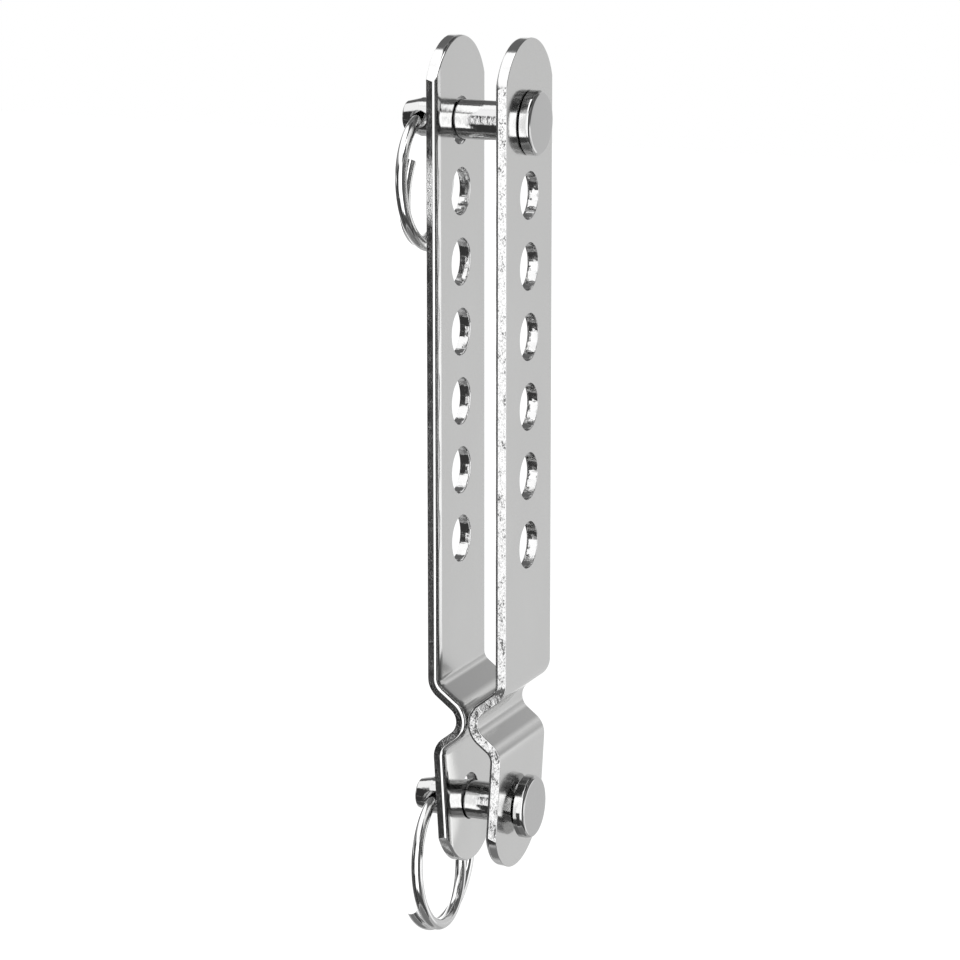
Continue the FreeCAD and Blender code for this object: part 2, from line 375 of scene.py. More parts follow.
def flat_strip(line, end_rise, edges):
    """The strip as flat stock, with its rounded ends, rolled and torn edges and punched holes."""
    patches = Patchwork()
    depths = edges.depths()
    stations = line.stations()
    holes = [TOP_Z - mount["pos_m"][2] for mount in FORK_HOLES]
    holes.append(min(holes) - HOLE_PITCH)
    lower_hole = line.length - (LOWER_HOLE_Z - BOTTOM_Z) / math.cos(EAR_TAPER)
    end_radius = (HALF_WIDTH ** 2 + end_rise ** 2) / (2 * end_rise)
    top_rows = [end_row(edges, 0, -1, end_radius, depth) for depth in depths]
    bottom_rows = [end_row(edges, line.length, 1, end_radius, depth) for depth in depths]
    for rows in (top_rows, bottom_rows):
        patches.wall(rows, lambda depth: "cut" if depth > END_ROLL_DEPTH else "rolled")
    for side, corner in ((-1, 0), (1, -1)):
        rows = []
        for depth, top, bottom in zip(depths, top_rows, bottom_rows):
            lengths = [top[corner][0][1]] + stations + [bottom[corner][0][1]]
            rows.append(side_row(edges, side, lengths, depth))
        torn_from, torn_to = edges.torn(side)
        patches.wall(rows, lambda depth: "torn" if torn_from < depth < torn_to else "rolled")
    for length in holes + [lower_hole]:
        patches.wall([hole_row(length, depth) for depth in depths], lambda depth: "punched")
    for level, normal in ((0, (0.0, 0.0, -1.0)), (-1, (0.0, 0.0, 1.0))):
        depth = depths[level]
        near, far = [side * (HALF_WIDTH - edges.profile(side, depth)[0]) for side in (-1, 1)]
        top_end = [point for point, _ in top_rows[level]]
        top_end += [(far, stations[0], depth), (near, stations[0], depth)]
        bottom_end = [point for point, _ in bottom_rows[level]]
        bottom_end += [(far, stations[-1], depth), (near, stations[-1], depth)]
        fill(patches, top_end, [[p for p, _ in hole_row(length, depth)] for length in holes], normal)
        fill(patches, bottom_end, [[p for p, _ in hole_row(lower_hole, depth)]], normal)
        for upper, lower in zip(stations, stations[1:]):
            band = [(near, upper, depth), (far, upper, depth), (far, lower, depth), (near, lower, depth)]
            patches.face(band, [normal] * 4, "face")
    return patches


def bend_strip(patches, line, mirror):
    """Corner points and normals of the flat stock once it follows the line. mirror is -1 on the left."""
    flat = np.array(patches.corners)
    normals = np.array(patches.normals)
    points, headings = line.at(flat[:, 1])
    along = np.stack([np.cos(headings), np.zeros(len(flat)), np.sin(headings)], axis=1)
    out = np.stack([-np.sin(headings), np.zeros(len(flat)), np.cos(headings)], axis=1)
    place = out * (flat[:, 2] - THICKNESS / 2)[:, None]
    place[:, 0] += points[:, 0]
    place[:, 1] += flat[:, 0]
    place[:, 2] += points[:, 1]
    turned = along * normals[:, 1:2] + out * normals[:, 2:3]
    turned[:, 1] += normals[:, 0]
    place[:, 0] *= mirror
    turned[:, 0] *= mirror
    return place, turned


def new_object(name, mesh):
    obj = bpy.data.objects.new(name, mesh)
    bpy.context.scene.collection.objects.link(obj)
    return obj


def strip_piece(name, mirror, end_rise, roll_arcs, finishes):
    """One bent strip as a closed mesh with exact normals. finishes maps finish names to materials."""
    line = strip_line()
    patches = flat_strip(line, end_rise, Edges(roll_arcs))
    place, normals = bend_strip(patches, line, mirror)
    cells = np.round(place / WELD_DISTANCE).astype(np.int64)
    _, first, index = np.unique(cells, axis=0, return_index=True, return_inverse=True)
    index = index.reshape(-1)
    faces, loop_normals, slots = [], [], []
    names = list(finishes)
    start = 0
    for size, finish in zip(patches.sizes, patches.finishes):
        corners = list(range(start, start + size))
        start += size
        a, b, c = [place[i] for i in (corners[0], corners[1], corners[2])]
        facing = np.cross(b - a, c - a)
        if size == 4:
            facing = np.cross(c - a, place[corners[3]] - b)
        if facing @ normals[corners].sum(axis=0) < 0:
            corners.reverse()
        welded = [int(index[i]) for i in corners]
        if len(set(welded)) < size:
            keep = [k for k in range(size) if welded[k] != welded[k - 1]]
            corners = [corners[k] for k in keep]
            welded = [welded[k] for k in keep]
        if len(welded) < 3:
            continue
        faces.append(welded)
        loop_normals += [normals[i] for i in corners]
        slots.append(names.index(finish))
    mesh = bpy.data.meshes.new(name)
    mesh.from_pydata([tuple(point) for point in place[first]], [], faces)
    for material in finishes.values():
        mesh.materials.append(material)
    strain = [line.strain(patches.corners[i][1]) for i in first]
    mesh.attributes.new("strain", "FLOAT", "POINT").data.foreach_set("value", strain)
    mesh.polygons.foreach_set("material_index", slots)
    mesh.polygons.foreach_set("use_smooth", [True] * len(faces))
    mesh.normals_split_custom_set([tuple(normal) for normal in loop_normals])
    return new_object(name, mesh)


def arc_points(centre, radius, start, end, count=9):
    """Points of an arc in a turned piece's profile, as (place on the axis, radius)."""
    return [(centre[0] + radius * math.cos(angle), centre[1] + radius * math.sin(angle))
            for angle in np.linspace(start, end, count)]


def turned_mesh(name, profile, sides):
    """Solid of revolution about X, from a profile that starts and ends on the axis."""
    bm = bmesh.new()
    rows = []
    for x, radius in profile:
        if radius < 1e-9:
            rows.append([bm.verts.new((x, 0, 0))] * sides)
            continue
        angles = [math.tau * i / sides for i in range(sides)]
        rows.append([bm.verts.new((x, radius * math.cos(a), radius * math.sin(a))) for a in angles])
    for row, after in zip(rows, rows[1:]):
        for i in range(sides):
            j = (i + 1) % sides
            corners = [row[i], row[j], after[j], after[i]]
            bm.faces.new(list(dict.fromkeys(corners)))
    bmesh.ops.recalc_face_normals(bm, faces=bm.faces)
    mesh = bpy.data.meshes.new(name)
    bm.to_mesh(mesh)
    bm.free()
    return mesh


def cross_hole_cutter(centre):
    """Closed shape that cuts the cross hole and its two countersinks."""
    wide = CROSS_HOLE_RADIUS + 2 * COUNTERSINK
    inner, outer, end = PIN_RADIUS - COUNTERSINK, PIN_RADIUS + COUNTERSINK, 2 * PIN_RADIUS
    profile = [(-end, 0), (-end, wide), (-outer, wide), (-inner, CROSS_HOLE_RADIUS),
               (inner, CROSS_HOLE_RADIUS), (outer, wide), (end, wide), (end, 0)]
    mesh = turned_mesh("cross_hole", profile, 96)
    mesh.transform(Matrix.Translation(centre) @ Matrix.Rotation(math.pi / 2, 4, "Z"))
    return new_object("cross_hole", mesh)


def pin_profile(tip_x, head_back_x, hole_x):
    """Half section of a clevis pin from the tip to the head's face."""
    face_x = head_back_x + HEAD_THICKNESS
    tip_radius = PIN_RADIUS - LEAD_IN_DEPTH
    near_hole = np.linspace(hole_x + 2 * CROSS_HOLE_RADIUS, hole_x - CROSS_HOLE_RADIUS, 24)
    shoulder = tip_x + LEAD_IN_LENGTH
    profile = [(tip_x, 0), (tip_x, 0.6 * tip_radius)]
    profile += arc_points((tip_x + TIP_ROUND, tip_radius - TIP_ROUND), TIP_ROUND, math.pi, math.pi / 2)
    for x in sorted(near_hole):
        if x > tip_x + 1.2 * TIP_ROUND:
            share = min(1.0, (x - tip_x - TIP_ROUND) / (LEAD_IN_LENGTH - TIP_ROUND))
            profile.append((x, tip_radius + LEAD_IN_DEPTH * share))
    profile = [point for point in profile if abs(point[0] - shoulder) > 0.02 * MM]
    profile.append((shoulder, PIN_RADIUS))
    profile.sort(key=lambda point: point[0])
    profile[0:2] = [(tip_x, 0), (tip_x, 0.6 * tip_radius)]
    profile += [(head_back_x, PIN_RADIUS), (head_back_x, HEAD_RADIUS - HEAD_CHAMFER),
                (head_back_x + HEAD_CHAMFER, HEAD_RADIUS)]
    profile += arc_points((face_x - HEAD_ROUND, HEAD_RADIUS - HEAD_ROUND), HEAD_ROUND, math.pi / 2, 0, 12)
    profile += [(face_x, 0.5 * HEAD_RADIUS), (face_x, 0)]
    return profile


def plain_mesh(obj, name):
    """The object's result with its modifiers as a plain mesh, in place of the object."""
    evaluated = obj.evaluated_get(bpy.context.evaluated_depsgraph_get())
    mesh = bpy.data.meshes.new_from_object(evaluated)
    mesh.name = name
    old = obj.data
    obj.modifiers.clear()
    obj.data = mesh
    bpy.data.meshes.remove(old)
    return obj


def pin_piece(name, node, turn_joint, hole_x, material):
    """A clevis pin with its head, lead-in and countersunk cross hole."""
    low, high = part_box(node)
    axis = frame_point(turn_joint)
    profile = pin_profile(low[0], high[0] - HEAD_THICKNESS, hole_x)
    pin = new_object(name, turned_mesh(name, profile, PIN_SIDES))
    pin.data.transform(Matrix.Translation((0, 0, axis.z)))
    cutter = cross_hole_cutter(Vector((hole_x, 0, axis.z)))
    cut = pin.modifiers.new("cross_hole", "BOOLEAN")
    cut.object = cutter
    cut.operation = "DIFFERENCE"
    cut.solver = "EXACT"
    plain_mesh(pin, name)
    bpy.data.objects.remove(cutter)
    pin.data.materials.clear()
    pin.data.materials.append(material)
    pin.data.polygons.foreach_set("use_smooth", [True] * len(pin.data.polygons))
    pin.data.set_sharp_from_angle(angle=SHARP_EDGE)
    return pin


class Formula:
    """A value in a node tree that adds maths nodes when it is used in arithmetic."""

    def __init__(self, tree, socket):
        self.tree = tree
        self.socket = socket

    def combine(self, operation, *others):
        node = self.tree.nodes.new("ShaderNodeMath")
        node.operation = operation
        for entry, value in zip(node.inputs, (self,) + others):
            if isinstance(value, Formula):
                self.tree.links.new(value.socket, entry)
            else:
                entry.default_value = value
        return Formula(self.tree, node.outputs[0])

    def __add__(self, other):
        return self.combine("ADD", other)

    def __sub__(self, other):
        return self.combine("SUBTRACT", other)

    def __mul__(self, other):
        return self.combine("MULTIPLY", other)

    def __truediv__(self, other):
        return self.combine("DIVIDE", other)

    def sin(self):
        return self.combine("SINE")

    def cos(self):
        return self.combine("COSINE")

    def at_least(self, low):
        return self.combine("MAXIMUM", low)


def add_node(tree, kind, inputs=None, **settings):
    """A node with its settings and its inputs, given as values or as sockets to link."""
    node = tree.nodes.new(kind)
    for name, value in settings.items():
        setattr(node, name, value)
    for name, value in (inputs or {}).items():
        if isinstance(value, Formula):
            value = value.socket
        if isinstance(value, bpy.types.NodeSocket):
            tree.links.new(value, node.inputs[name])
        else:
            node.inputs[name].default_value = value
    return node


# What shapes a ring's coil. Drift is in wires for each turn and Growth in radius for each wire of drift,
# Curl and Spread are in wires at the sprung free end, and the two gains are of the coil's pitch angle.
COIL_INPUTS = {
    "Ring Radius": "NodeSocketFloat",
    "Wire Diameter": "NodeSocketFloat",
    "Start": "NodeSocketFloat",
    "End": "NodeSocketFloat",
    "Lean": "NodeSocketFloat",
    "Lean Gain": "NodeSocketFloat",
    "Yaw": "NodeSocketFloat",
    "Yaw Gain": "NodeSocketFloat",
    "Growth": "NodeSocketFloat",
    "Drift": "NodeSocketVector",
    "Curl": "NodeSocketFloat",
    "Spread": "NodeSocketFloat",
    "Sprung Angle": "NodeSocketFloat",
    "Hang": "NodeSocketVector",
    "Points": "NodeSocketInt",
    "Sides": "NodeSocketInt",
    "Material": "NodeSocketMaterial",
}


def turned_about(tree, axis, vector, angle):
    """The vector turned by an angle about the axis, such as Y_AXIS."""
    inputs = {"Vector": vector, "Angle": angle}
    return add_node(tree, "ShaderNodeVectorRotate", inputs, rotation_type=axis).outputs[0]


def with_value(tree, geometry, name, value):
    """The geometry with a value kept at each of its points under a name."""
    inputs = {"Geometry": geometry, "Name": name, "Value": value}
    node = add_node(tree, "GeometryNodeStoreNamedAttribute", inputs, data_type="FLOAT", domain="POINT")
    return node.outputs[0]


def coil_tree():
    """Node tree of a sprung split ring: a coil of wire that hangs from its strand at the top."""
    tree = bpy.data.node_groups.new("split_ring_coil", "GeometryNodeTree")
    for name, kind in COIL_INPUTS.items():
        tree.interface.new_socket(name, in_out="INPUT", socket_type=kind)
    tree.interface.new_socket("Geometry", in_out="OUTPUT", socket_type="NodeSocketGeometry")
    group = tree.nodes.new("NodeGroupInput")
    given = {name: Formula(tree, group.outputs[name]) for name in COIL_INPUTS}
    index = Formula(tree, add_node(tree, "GeometryNodeInputIndex").outputs[0])

    radius, wire = given["Ring Radius"], given["Wire Diameter"]
    angle = given["Start"] + (given["End"] - given["Start"]) * index / (given["Points"] - 1)
    turns = (angle - math.pi) / math.tau
    drift = wire * turns
    slack = ((given["Start"] - angle) / given["Sprung Angle"] + 1).at_least(0)
    sprung = wire * slack * slack
    reach = radius + given["Growth"] * drift - given["Curl"] * sprung
    shares = add_node(tree, "ShaderNodeSeparateXYZ", {0: given["Drift"]}).outputs
    x = drift * Formula(tree, shares[0]) + given["Spread"] * sprung
    y = drift * Formula(tree, shares[1]) + reach * angle.sin()
    z = drift * Formula(tree, shares[2]) - reach * angle.cos() - radius
    point = add_node(tree, "ShaderNodeCombineXYZ", {0: x, 1: y, 2: z}).outputs[0]
    tilt = wire / radius * turns
    lean = turned_about(tree, "Y_AXIS", point, given["Lean"] + given["Lean Gain"] * tilt)
    yaw = turned_about(tree, "Z_AXIS", lean, given["Yaw"] + given["Yaw Gain"] * tilt)
    place = add_node(tree, "ShaderNodeVectorMath", {0: yaw, 1: given["Hang"]}, operation="ADD").outputs[0]

    line = add_node(tree, "GeometryNodeMeshLine", {"Count": given["Points"]}).outputs[0]
    moved = add_node(tree, "GeometryNodeSetPosition", {"Geometry": line, "Position": place}).outputs[0]
    path = add_node(tree, "GeometryNodeMeshToCurve", {"Mesh": moved}).outputs[0]
    length = add_node(tree, "GeometryNodeSplineParameter").outputs["Length"]
    path = with_value(tree, path, "along", length)
    section = add_node(tree, "GeometryNodeCurvePrimitiveCircle",
                       {"Resolution": given["Sides"], "Radius": wire * 0.5}).outputs[0]
    around = (index / given["Sides"]) * math.tau
    section = with_value(tree, section, "around", around)
    tube = add_node(tree, "GeometryNodeCurveToMesh",
                    {"Curve": path, "Profile Curve": section, "Fill Caps": True}).outputs[0]
    corners = add_node(tree, "GeometryNodeInputMeshFaceNeighbors").outputs["Vertex Count"]
    side = add_node(tree, "FunctionNodeCompare", {2: corners, 3: 5}, data_type="INT", operation="LESS_THAN")
    smooth = add_node(tree, "GeometryNodeSetShadeSmooth",
                      {0: tube, "Shade Smooth": side.outputs[0]}).outputs[0]
    real = add_node(tree, "GeometryNodeRealizeInstances", {"Geometry": smooth}).outputs[0]
    finished = add_node(tree, "GeometryNodeSetMaterial",
                        {"Geometry": real, "Material": given["Material"]}).outputs[0]
    output = tree.nodes.new("NodeGroupOutput")
    tree.links.new(finished, output.inputs[0])
    return tree


def ring_piece(name, tree, coil, material):
    """A split ring from the coil tree, as a plain mesh."""
    ring = new_object(name, bpy.data.meshes.new(name + "_start"))
    modifier = ring.modifiers.new("coil", "NODES")
    modifier.node_group = tree
    values = dict(coil, Material=material, Points=RING_POINTS, Sides=RING_SIDES)
    values["Wire Diameter"] = WIRE
    for item in tree.interface.items_tree:
        if item.in_out == "INPUT":
            modifier[item.identifier] = values[item.name]
    return plain_mesh(ring, name)


def wire_bow(radius):
    """How far a ring's wire bows away from the middle of the pin that it crosses."""
    return radius - math.sqrt(radius ** 2 - PIN_RADIUS ** 2)


def hang_point(joint, off_centre):
    """Where the strand in a cross hole lies, lifted by half of its bow, all but the same in both rings."""
    return frame_point(joint) + Vector((off_centre, 0, wire_bow(UPPER_RING_RADIUS) / 2))


UPPER_COIL = {
    "Ring Radius": UPPER_RING_RADIUS,
    "Start": math.radians(-115),
    "End": math.radians(411),
    "Lean": math.radians(-1.7),
    "Lean Gain": -1.0,
    "Yaw": math.radians(2.1),
    "Yaw Gain": -0.23,
    "Growth": 0.28,
    "Drift": (-0.75, -0.75, 0.0),
    "Curl": 0.0,
    "Spread": 0.0,
    "Sprung Angle": SPRUNG_ANGLE,
    "Hang": hang_point("upper_ring_swing", -0.12 * MM),
}
LOWER_COIL = {
    "Ring Radius": LOWER_RING_RADIUS,
    "Start": math.radians(-41),
    "End": math.radians(500),
    "Lean": math.radians(-0.25),
    "Lean Gain": -0.54,
    "Yaw": 0.0,
    "Yaw Gain": 1.04,
    "Growth": -1.06,
    "Drift": (0.0, -0.21, -0.32),
    "Curl": 1.27,
    "Spread": -0.33,
    "Sprung Angle": SPRUNG_ANGLE,
    "Hang": hang_point("lower_ring_swing", 0.2 * MM),
}


def metal(name, colour, roughness):
    """A bare metal's material, with its tree and its shader for the finish to build on."""
    material = bpy.data.materials.new(name)
    material.use_nodes = True
    tree = material.node_tree
    shader = tree.nodes["Principled BSDF"]
    shader.inputs["Base Color"].default_value = (*colour, 1)
    shader.inputs["Metallic"].default_value = 1.0
    shader.inputs["Roughness"].default_value = roughness
    return material, tree, shader


def object_place(tree, scale):
    """Object coordinates stretched by a scale, in pattern cells for each metre."""
    coordinates = add_node(tree, "ShaderNodeTexCoord").outputs["Object"]
    return add_node(tree, "ShaderNodeMapping", {"Vector": coordinates, "Scale": scale}).outputs[0]


def noise(tree, place, detail=2.0, roughness=0.5):
    return add_node(tree, "ShaderNodeTexNoise",
                    {"Vector": place, "Scale": 1.0, "Detail": detail, "Roughness": roughness}).outputs[0]


def vary(tree, value, low, high):
    """The middle of a noise spread between two values."""
    node = add_node(tree, "ShaderNodeMapRange",
                    {"Value": value, "From Min": 0.3, "From Max": 0.7, "To Min": low, "To Max": high})
    return node.outputs[0]


def bump(tree, shader, height, distance):
    node = add_node(tree, "ShaderNodeBump", {"Height": height, "Distance": distance, "Strength": 1.0})
    tree.links.new(node.outputs[0], shader.inputs["Normal"])


def beyond(tree, axis, limits):
    """A share of 0 before the first limit along an axis of the object and 1 beyond the second."""
    coordinates = add_node(tree, "ShaderNodeTexCoord").outputs["Object"]
    value = add_node(tree, "ShaderNodeSeparateXYZ", {0: coordinates}).outputs[axis]
    share = add_node(tree, "ShaderNodeMapRange",
                     {"Value": value, "From Min": limits[0], "From Max": limits[1]})
    return Formula(tree, share.outputs[0])


def polished_sheet():
    """Faces of the strips: mill-polished sheet, a little uneven, with faint lengthwise grain."""
    material, tree, shader = metal("polished_sheet", (0.7, 0.7, 0.695), 0.14)
    clouds = noise(tree, object_place(tree, (120, 120, 90)))
    grain = noise(tree, object_place(tree, (2500, 2500, 120)), detail=3.0)
    tree.links.new(vary(tree, clouds, 0.12, 0.17), shader.inputs["Roughness"])
    bump(tree, shader, grain, 0.0004 * MM)
    return material


def torn_edge():
    """Torn part of the sheared edges: fine grains and pits with painted shade (their recesses darkened in
    the base colour), more of them where the strip is bent, and rubbed rough on the left strip where the
    upper ring swings past."""
    material, tree, shader = metal("torn_edge", (0.68, 0.68, 0.68), 0.15)
    grains = Formula(tree, noise(tree, object_place(tree, (4600, 4600, 3200)), detail=4.0, roughness=0.65))
    patches = Formula(tree, noise(tree, object_place(tree, (900, 900, 600)), detail=3.0))
    strain = Formula(tree, add_node(tree, "ShaderNodeAttribute", attribute_name="strain").outputs["Fac"])
    depth = patches + strain * 0.25
    beside_ring = beyond(tree, "Z", RUBBED_BOTTOM) * beyond(tree, "Z", RUBBED_TOP)
    rubbed = beside_ring * beyond(tree, "X", RUBBED_SIDE)
    smooth = Formula(tree, vary(tree, depth.socket, 0.1, 0.26))
    tree.links.new((smooth + rubbed * 0.1).socket, shader.inputs["Roughness"])
    clean = rubbed * -0.06
    specks = add_node(tree, "ShaderNodeMapRange",
                      {"Value": grains + clean, "From Min": 0.5, "From Max": 0.58})
    # Painted shade: where the pits lie, the base colour is darkened in place of the shade that falls in
    # them
    pit_shade_mask = add_node(tree, "ShaderNodeMapRange",
                    {"Value": grains * 0.5 + depth * 0.5 + clean, "From Min": 0.55, "From Max": 0.61})
    brightness = rubbed * 0.23 + 0.72
    specked = add_node(tree, "ShaderNodeMix", {0: specks.outputs[0], 6: brightness}, data_type="RGBA")
    specked.inputs[7].default_value = (0.5, 0.5, 0.5, 1)
    # Painted shade in the pits: a dark grey of 0.12 mixed into the base colour over the specked tone
    pit_shaded_colour = add_node(tree, "ShaderNodeMix", {0: pit_shade_mask.outputs[0], 6: specked.outputs[2]}, data_type="RGBA")
    pit_shaded_colour.inputs[7].default_value = (0.12, 0.12, 0.12, 1)
    tree.links.new(pit_shaded_colour.outputs[2], shader.inputs["Base Color"])
    relief = Formula(tree, vary(tree, depth.socket, 0.5, 3.0)) + rubbed * 13
    bump(tree, shader, (grains * relief).socket, 0.012 * MM)
    return material


def rolled_edge():
    """Rolled edges and worn rims: smooth, with long soft waves."""
    material, tree, shader = metal("rolled_edge", (0.7, 0.7, 0.7), 0.12)
    waves = noise(tree, object_place(tree, (300, 300, 160)))
    tree.links.new(vary(tree, waves, 0.08, 0.16), shader.inputs["Roughness"])
    bump(tree, shader, waves, 0.02 * MM)
    return material


def cut_edge():
    """Rounded ends of the strips, cut and polished."""
    material, tree, shader = metal("cut_edge", (0.7, 0.7, 0.7), 0.1)
    waves = noise(tree, object_place(tree, (900, 250, 250)))
    tree.links.new(vary(tree, waves, 0.06, 0.14), shader.inputs["Roughness"])
    bump(tree, shader, waves, 0.025 * MM)
    return material


def punched_wall():
    """Walls of the holes, drawn by the punch with streaks along its stroke and torn off in small blocks."""
    material, tree, shader = metal("punched_wall", (0.68, 0.68, 0.68), 0.1)
    streaks = noise(tree, object_place(tree, (200, 1500, 1500)))
    tree.links.new(vary(tree, streaks, 0.06, 0.16), shader.inputs["Roughness"])
    place = object_place(tree, (1100, 1900, 1900))
    blocks = add_node(tree, "ShaderNodeTexVoronoi", {"Vector": place, "Scale": 1.0}, distance="CHEBYCHEV")
    height = Formula(tree, streaks) + Formula(tree, blocks.outputs["Distance"]) * 1.2
    bump(tree, shader, height.socket, 0.02 * MM)
    return material


def turned_steel():
    """Clevis pins: turned, with fine rings round the shaft and small scratches, smoother on the heads."""
    material, tree, shader = metal("turned_steel", (0.6, 0.6, 0.6), 0.1)
    rings = Formula(tree, noise(tree, object_place(tree, (3500, 250, 250)), detail=3.0))
    grains = Formula(tree, noise(tree, object_place(tree, (2600, 2600, 2600)), detail=3.0))
    tree.links.new(vary(tree, rings.socket, 0.05, 0.12), shader.inputs["Roughness"])
    shaft = beyond(tree, "X", HEAD_SIDE) * beyond(tree, "X", TIP_SIDE) * 0.85 + 0.15
    bump(tree, shader, ((rings * 0.5 + grains) * shaft).socket, 0.012 * MM)
    return material


def spring_wire():
    """Wire of the split rings: bright, with drawing lines that follow it."""
    material, tree, shader = metal("spring_wire", (0.74, 0.74, 0.74), 0.08)
    along = add_node(tree, "ShaderNodeAttribute", attribute_name="along").outputs["Fac"]
    around = Formula(tree, add_node(tree, "ShaderNodeAttribute", attribute_name="around").outputs["Fac"])
    place = add_node(tree, "ShaderNodeCombineXYZ",
                     {0: Formula(tree, along) * 250, 1: around.cos() * 3, 2: around.sin() * 3}).outputs[0]
    lines = noise(tree, place, detail=3.0)
    tree.links.new(vary(tree, lines, 0.05, 0.14), shader.inputs["Roughness"])
    bump(tree, shader, lines, 0.006 * MM)
    return material


def direction(azimuth, elevation):
    """Unit vector: azimuth 0 points along -Y, towards the camera's side, and 90 along +X."""
    a, e = math.radians(azimuth), math.radians(elevation)
    return Vector((math.sin(a) * math.cos(e), -math.cos(a) * math.cos(e), math.sin(e)))


def card_material(name, grey):
    """Plain glow that fades out where the card's cover does."""
    material = bpy.data.materials.new(name)
    material.use_nodes = True
    tree = material.node_tree
    tree.nodes.clear()
    glow = add_node(tree, "ShaderNodeEmission", {"Color": (grey, grey, grey, 1), "Strength": 1.0})
    clear = add_node(tree, "ShaderNodeBsdfTransparent")
    cover = add_node(tree, "ShaderNodeAttribute", attribute_name="cover").outputs["Fac"]
    both = add_node(tree, "ShaderNodeMixShader", {0: cover, 1: clear.outputs[0], 2: glow.outputs[0]})
    output = add_node(tree, "ShaderNodeOutputMaterial")
    tree.links.new(both.outputs[0], output.inputs[0])
    return material


def spread(limits, softness, count):
    """Angles across a card and a bit beyond, each with the share of the card's cover there."""
    low, high = limits
    # a card that goes right round or up to a pole has no border there
    open_low, open_high = low not in (-180, -90), high not in (180, 90)
    low_edge = low - softness / 2 * open_low
    high_edge = high + softness / 2 * open_high
    pairs = []
    for angle in np.linspace(low_edge, high_edge, count):
        low_share = (angle - low_edge) / softness if open_low else 1.0
        high_share = (high_edge - angle) / softness if open_high else 1.0
        pairs.append((angle, min(1.0, low_share, high_share)))
    return pairs


def stage_card(name, mesh, grey):
    """Puts a card in the studio, where only reflections see it."""
    mesh.materials.append(card_material(name, grey))
    obj = new_object(name, mesh)
    obj.visible_camera = False
    obj.visible_diffuse = False
    obj.visible_shadow = False


def card(name, azimuths, elevations, softness, grey, distance):
    """A card curved round the object, of one grey, which only reflections see."""
    mesh = bpy.data.meshes.new(name)
    points, cover = [], []
    across = spread(azimuths, softness, CARD_COLUMNS + 1)
    for elevation, share in spread(elevations, softness, CARD_ROWS + 1):
        for azimuth, side_share in across:
            points.append(CARD_CENTRE + direction(azimuth, elevation) * distance)
            cover.append(share * side_share)
    faces = []
    for row in range(CARD_ROWS):
        for column in range(CARD_COLUMNS):
            corner = row * (CARD_COLUMNS + 1) + column
            above = corner + CARD_COLUMNS + 1
            faces.append((corner, corner + 1, above + 1, above))
    mesh.from_pydata(points, [], faces)
    mesh.attributes.new("cover", "FLOAT", "POINT").data.foreach_set("value", cover)
    stage_card(name, mesh, grey)


def small_card(name, low, high, height, grey):
    """A flat card just above the object, whose light the strips pass on to the upper pin's shaft."""
    mesh = bpy.data.meshes.new(name)
    corners = [(low[0], low[1]), (high[0], low[1]), (high[0], high[1]), (low[0], high[1])]
    mesh.from_pydata([(x, y, height) for x, y in corners], [], [(0, 1, 2, 3)])
    mesh.attributes.new("cover", "FLOAT", "POINT").data.foreach_set("value", [1.0] * 4)
    stage_card(name, mesh, grey)


def softbox(name, azimuth, elevation, distance, size, radiance):
    """A square area light that faces the object."""
    light = bpy.data.lights.new(name, "AREA")
    light.shape = "SQUARE"
    light.size = size
    light.energy = radiance * math.pi * size * size
    obj = bpy.data.objects.new(name, light)
    obj.visible_glossy = False
    obj.location = CARD_CENTRE + direction(azimuth, elevation) * distance
    obj.rotation_euler = direction(azimuth, elevation).to_track_quat("Z", "Y").to_euler()
    bpy.context.scene.collection.objects.link(obj)


def seen_background(tree):
    """1 for rays from the camera, a mirror or glass, 0 for light that falls on a surface."""
    path = add_node(tree, "ShaderNodeLightPath").outputs
    camera = Formula(tree, path["Is Camera Ray"])
    glossy = Formula(tree, path["Is Glossy Ray"])
    through = Formula(tree, path["Is Transmission Ray"])
    return camera.combine("MAXIMUM", glossy).combine("MAXIMUM", through)


def studio_world():
    """White where it is seen, a plain pale light where it falls."""
    world = bpy.data.worlds.new("studio")
    world.use_nodes = True
    tree = world.node_tree
    background = tree.nodes["Background"]
    seen = seen_background(tree)
    background.inputs["Color"].default_value = (1, 1, 1, 1)
    strength = seen * (1 - WORLD_LIGHT) + WORLD_LIGHT
    tree.links.new(strength.socket, background.inputs["Strength"])
    bpy.context.scene.world = world


def studio_floor():
    """A large pale floor well below the object, which hangs free."""
    mesh = bpy.data.meshes.new("floor")
    corners = [(-1, -1), (1, -1), (1, 1), (-1, 1)]
    points = [(FLOOR_SIZE * x, FLOOR_SIZE * y, FLOOR_HEIGHT) for x, y in corners]
    mesh.from_pydata(points, [], [(0, 1, 2, 3)])
    material = bpy.data.materials.new("pale_floor")
    material.use_nodes = True
    tree = material.node_tree
    tree.nodes.clear()
    diffuse = add_node(tree, "ShaderNodeBsdfDiffuse", {"Color": (0.85, 0.85, 0.85, 1)})
    glow = add_node(tree, "ShaderNodeEmission",
                    {"Color": (1, 1, 1, 1), "Strength": seen_background(tree) * FLOOR_GLOW})
    both = add_node(tree, "ShaderNodeAddShader", {0: diffuse.outputs[0], 1: glow.outputs[0]})
    output = add_node(tree, "ShaderNodeOutputMaterial")
    tree.links.new(both.outputs[0], output.inputs[0])
    mesh.materials.append(material)
    new_object("floor", mesh)


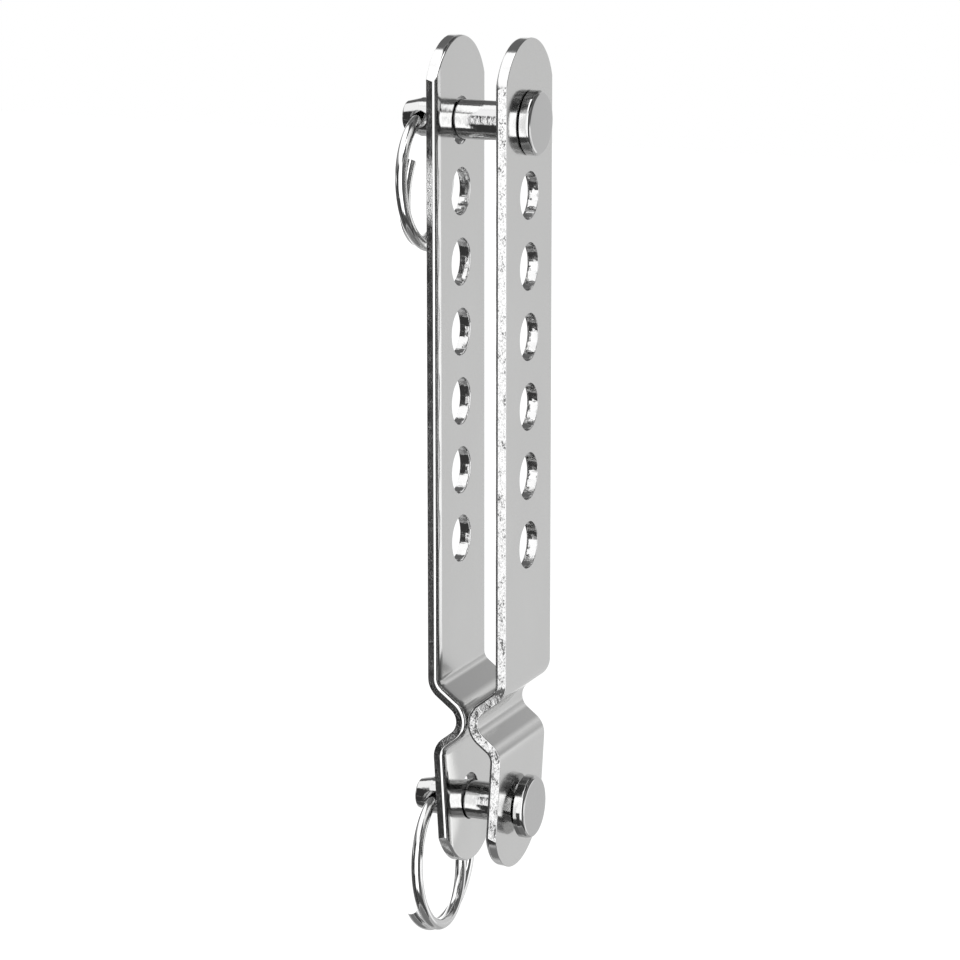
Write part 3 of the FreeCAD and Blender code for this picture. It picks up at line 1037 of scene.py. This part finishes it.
def camera():
    """Camera at the photograph's place."""
    data = bpy.data.cameras.new("camera")
    data.sensor_width = SENSOR_WIDTH
    data.lens = LENS
    data.shift_x = SHIFT_X
    data.clip_start = 0.01
    obj = bpy.data.objects.new("camera", data)
    level = math.cos(CAMERA_ELEVATION)
    forward = Vector((-math.sin(CAMERA_AZIMUTH) * level, math.cos(CAMERA_AZIMUTH) * level,
                      -math.sin(CAMERA_ELEVATION)))
    right = Vector((math.cos(CAMERA_AZIMUTH), math.sin(CAMERA_AZIMUTH), 0))
    up = right.cross(forward)
    turn = Matrix((right, up, -forward)).transposed().to_4x4()
    obj.matrix_world = Matrix.Translation(CAMERA_TARGET - forward * CAMERA_DISTANCE) @ turn
    bpy.context.scene.collection.objects.link(obj)
    bpy.context.scene.camera = obj


def dress(obj, node, body):
    """Puts a piece on its body in place of its CAD node."""
    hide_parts(node)
    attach(obj, body)


def build_pieces():
    sheet, rolled_finish = polished_sheet(), rolled_edge()
    finishes = {
        "face": sheet,
        "torn": torn_edge(),
        "rolled": rolled_finish,
        "cut": cut_edge(),
        "punched": punched_wall(),
    }
    right = strip_piece("right_strip", 1, RIGHT_END_RISE, RIGHT_ROLL_ARCS, finishes)
    left = strip_piece("left_strip", -1, LEFT_END_RISE, LEFT_ROLL_ARCS, finishes)
    dress(right, "right_plate", "plates")
    dress(left, "left_plate", "plates")
    pin_finish = turned_steel()
    for level in ("upper", "lower"):
        hole_x = frame_point(level + "_ring_swing").x
        pin = pin_piece(level + "_pin", level + "_clevis_pin", level + "_pin_turn", hole_x, pin_finish)
        dress(pin, level + "_clevis_pin", level + "_pin")
    tree = coil_tree()
    wire_finish = spring_wire()
    for level, coil in (("upper", UPPER_COIL), ("lower", LOWER_COIL)):
        ring = ring_piece(level + "_ring", tree, coil, wire_finish)
        dress(ring, level + "_split_ring", level + "_ring")


# Cards round the object, which only its reflections see: name, azimuths and elevations they cover,
# degrees over which they fade at their borders, and grey
CARDS = [
    ("overhead", (-120, 22), (32, 62), 6, 1.45),
    ("overhead_top", (-120, 30), (62, 90), 8, 1.6),
    ("overhead_right", (30, 240), (66, 90), 6, 0.08),
    ("front", (-15, 22), (-35, 33), 3, 1.5),
    ("front_left", (-23, -15), (-14, 33), 2, 1.6),
    ("front_strip", (22, 36), (-38, 38), 3, 2.6),
    ("left_dark", (-62, -23), (-14, 32), 2, 0.05),
    ("left_low_dark", (-62, -15), (-60, -14), 2, 0.05),
    ("far_left_dark", (-100, -62), (-60, 0), 5, 0.08),
    ("far_left_line", (-100, -62), (6, 16), 3, 0.1),
    ("far_left_light", (-100, -62), (17, 30), 3, 0.35),
    ("right_front_top", (30, 110), (38, 68), 6, 0.04),
    ("right_front", (36, 91), (-38, 36), 5, 0.12),
    ("right_back_top", (91, 151), (-2, 38), 6, 0.14),
    ("right_back", (91, 118), (-20, -1), 6, 1.5),
    ("right_back_low", (91, 118), (-38, -20), 6, 0.6),
    ("low_front", (-15, 118), (-60, -36), 6, 0.08),
    ("ground", (-180, 180), (-90, -60), 10, 0.22),
    ("low_back", (118, 258), (-60, -35), 14, 0.5),
    ("back_edge_light", (128, 151), (-36, -4), 3, 1.25),
    ("back", (118, 196), (-36, 14), 6, 0.71),
    ("back_left_light", (198, 236), (-18, -4), 5, 1.9),
    ("back_high", (146, 200), (36, 66), 8, 0.08),
    ("back_top", (146, 200), (18, 66), 12, 0.38),
    ("back_top_right", (110, 146), (14, 66), 12, 0.1),
    ("back_left_top", (-160, -120), (20, 66), 6, 0.16),
    ("back_left", (-124, -100), (-60, 28), 8, 0.12),
]


def build_studio():
    studio_world()
    studio_floor()
    small_card("pin_light", low=(3 * MM, -32 * MM), high=(13 * MM, 0), height=121 * MM, grey=2.4)
    for index, (name, azimuths, elevations, softness, grey) in enumerate(CARDS):
        card(name, azimuths, elevations, softness, grey, CARD_DISTANCE + CARD_STEP * index)
    softbox("key", azimuth=-20, elevation=60, distance=1.0, size=0.6, radiance=2.0)


build_pieces()
build_studio()
camera()
scene = bpy.context.scene
scene.view_settings.view_transform = "Standard"
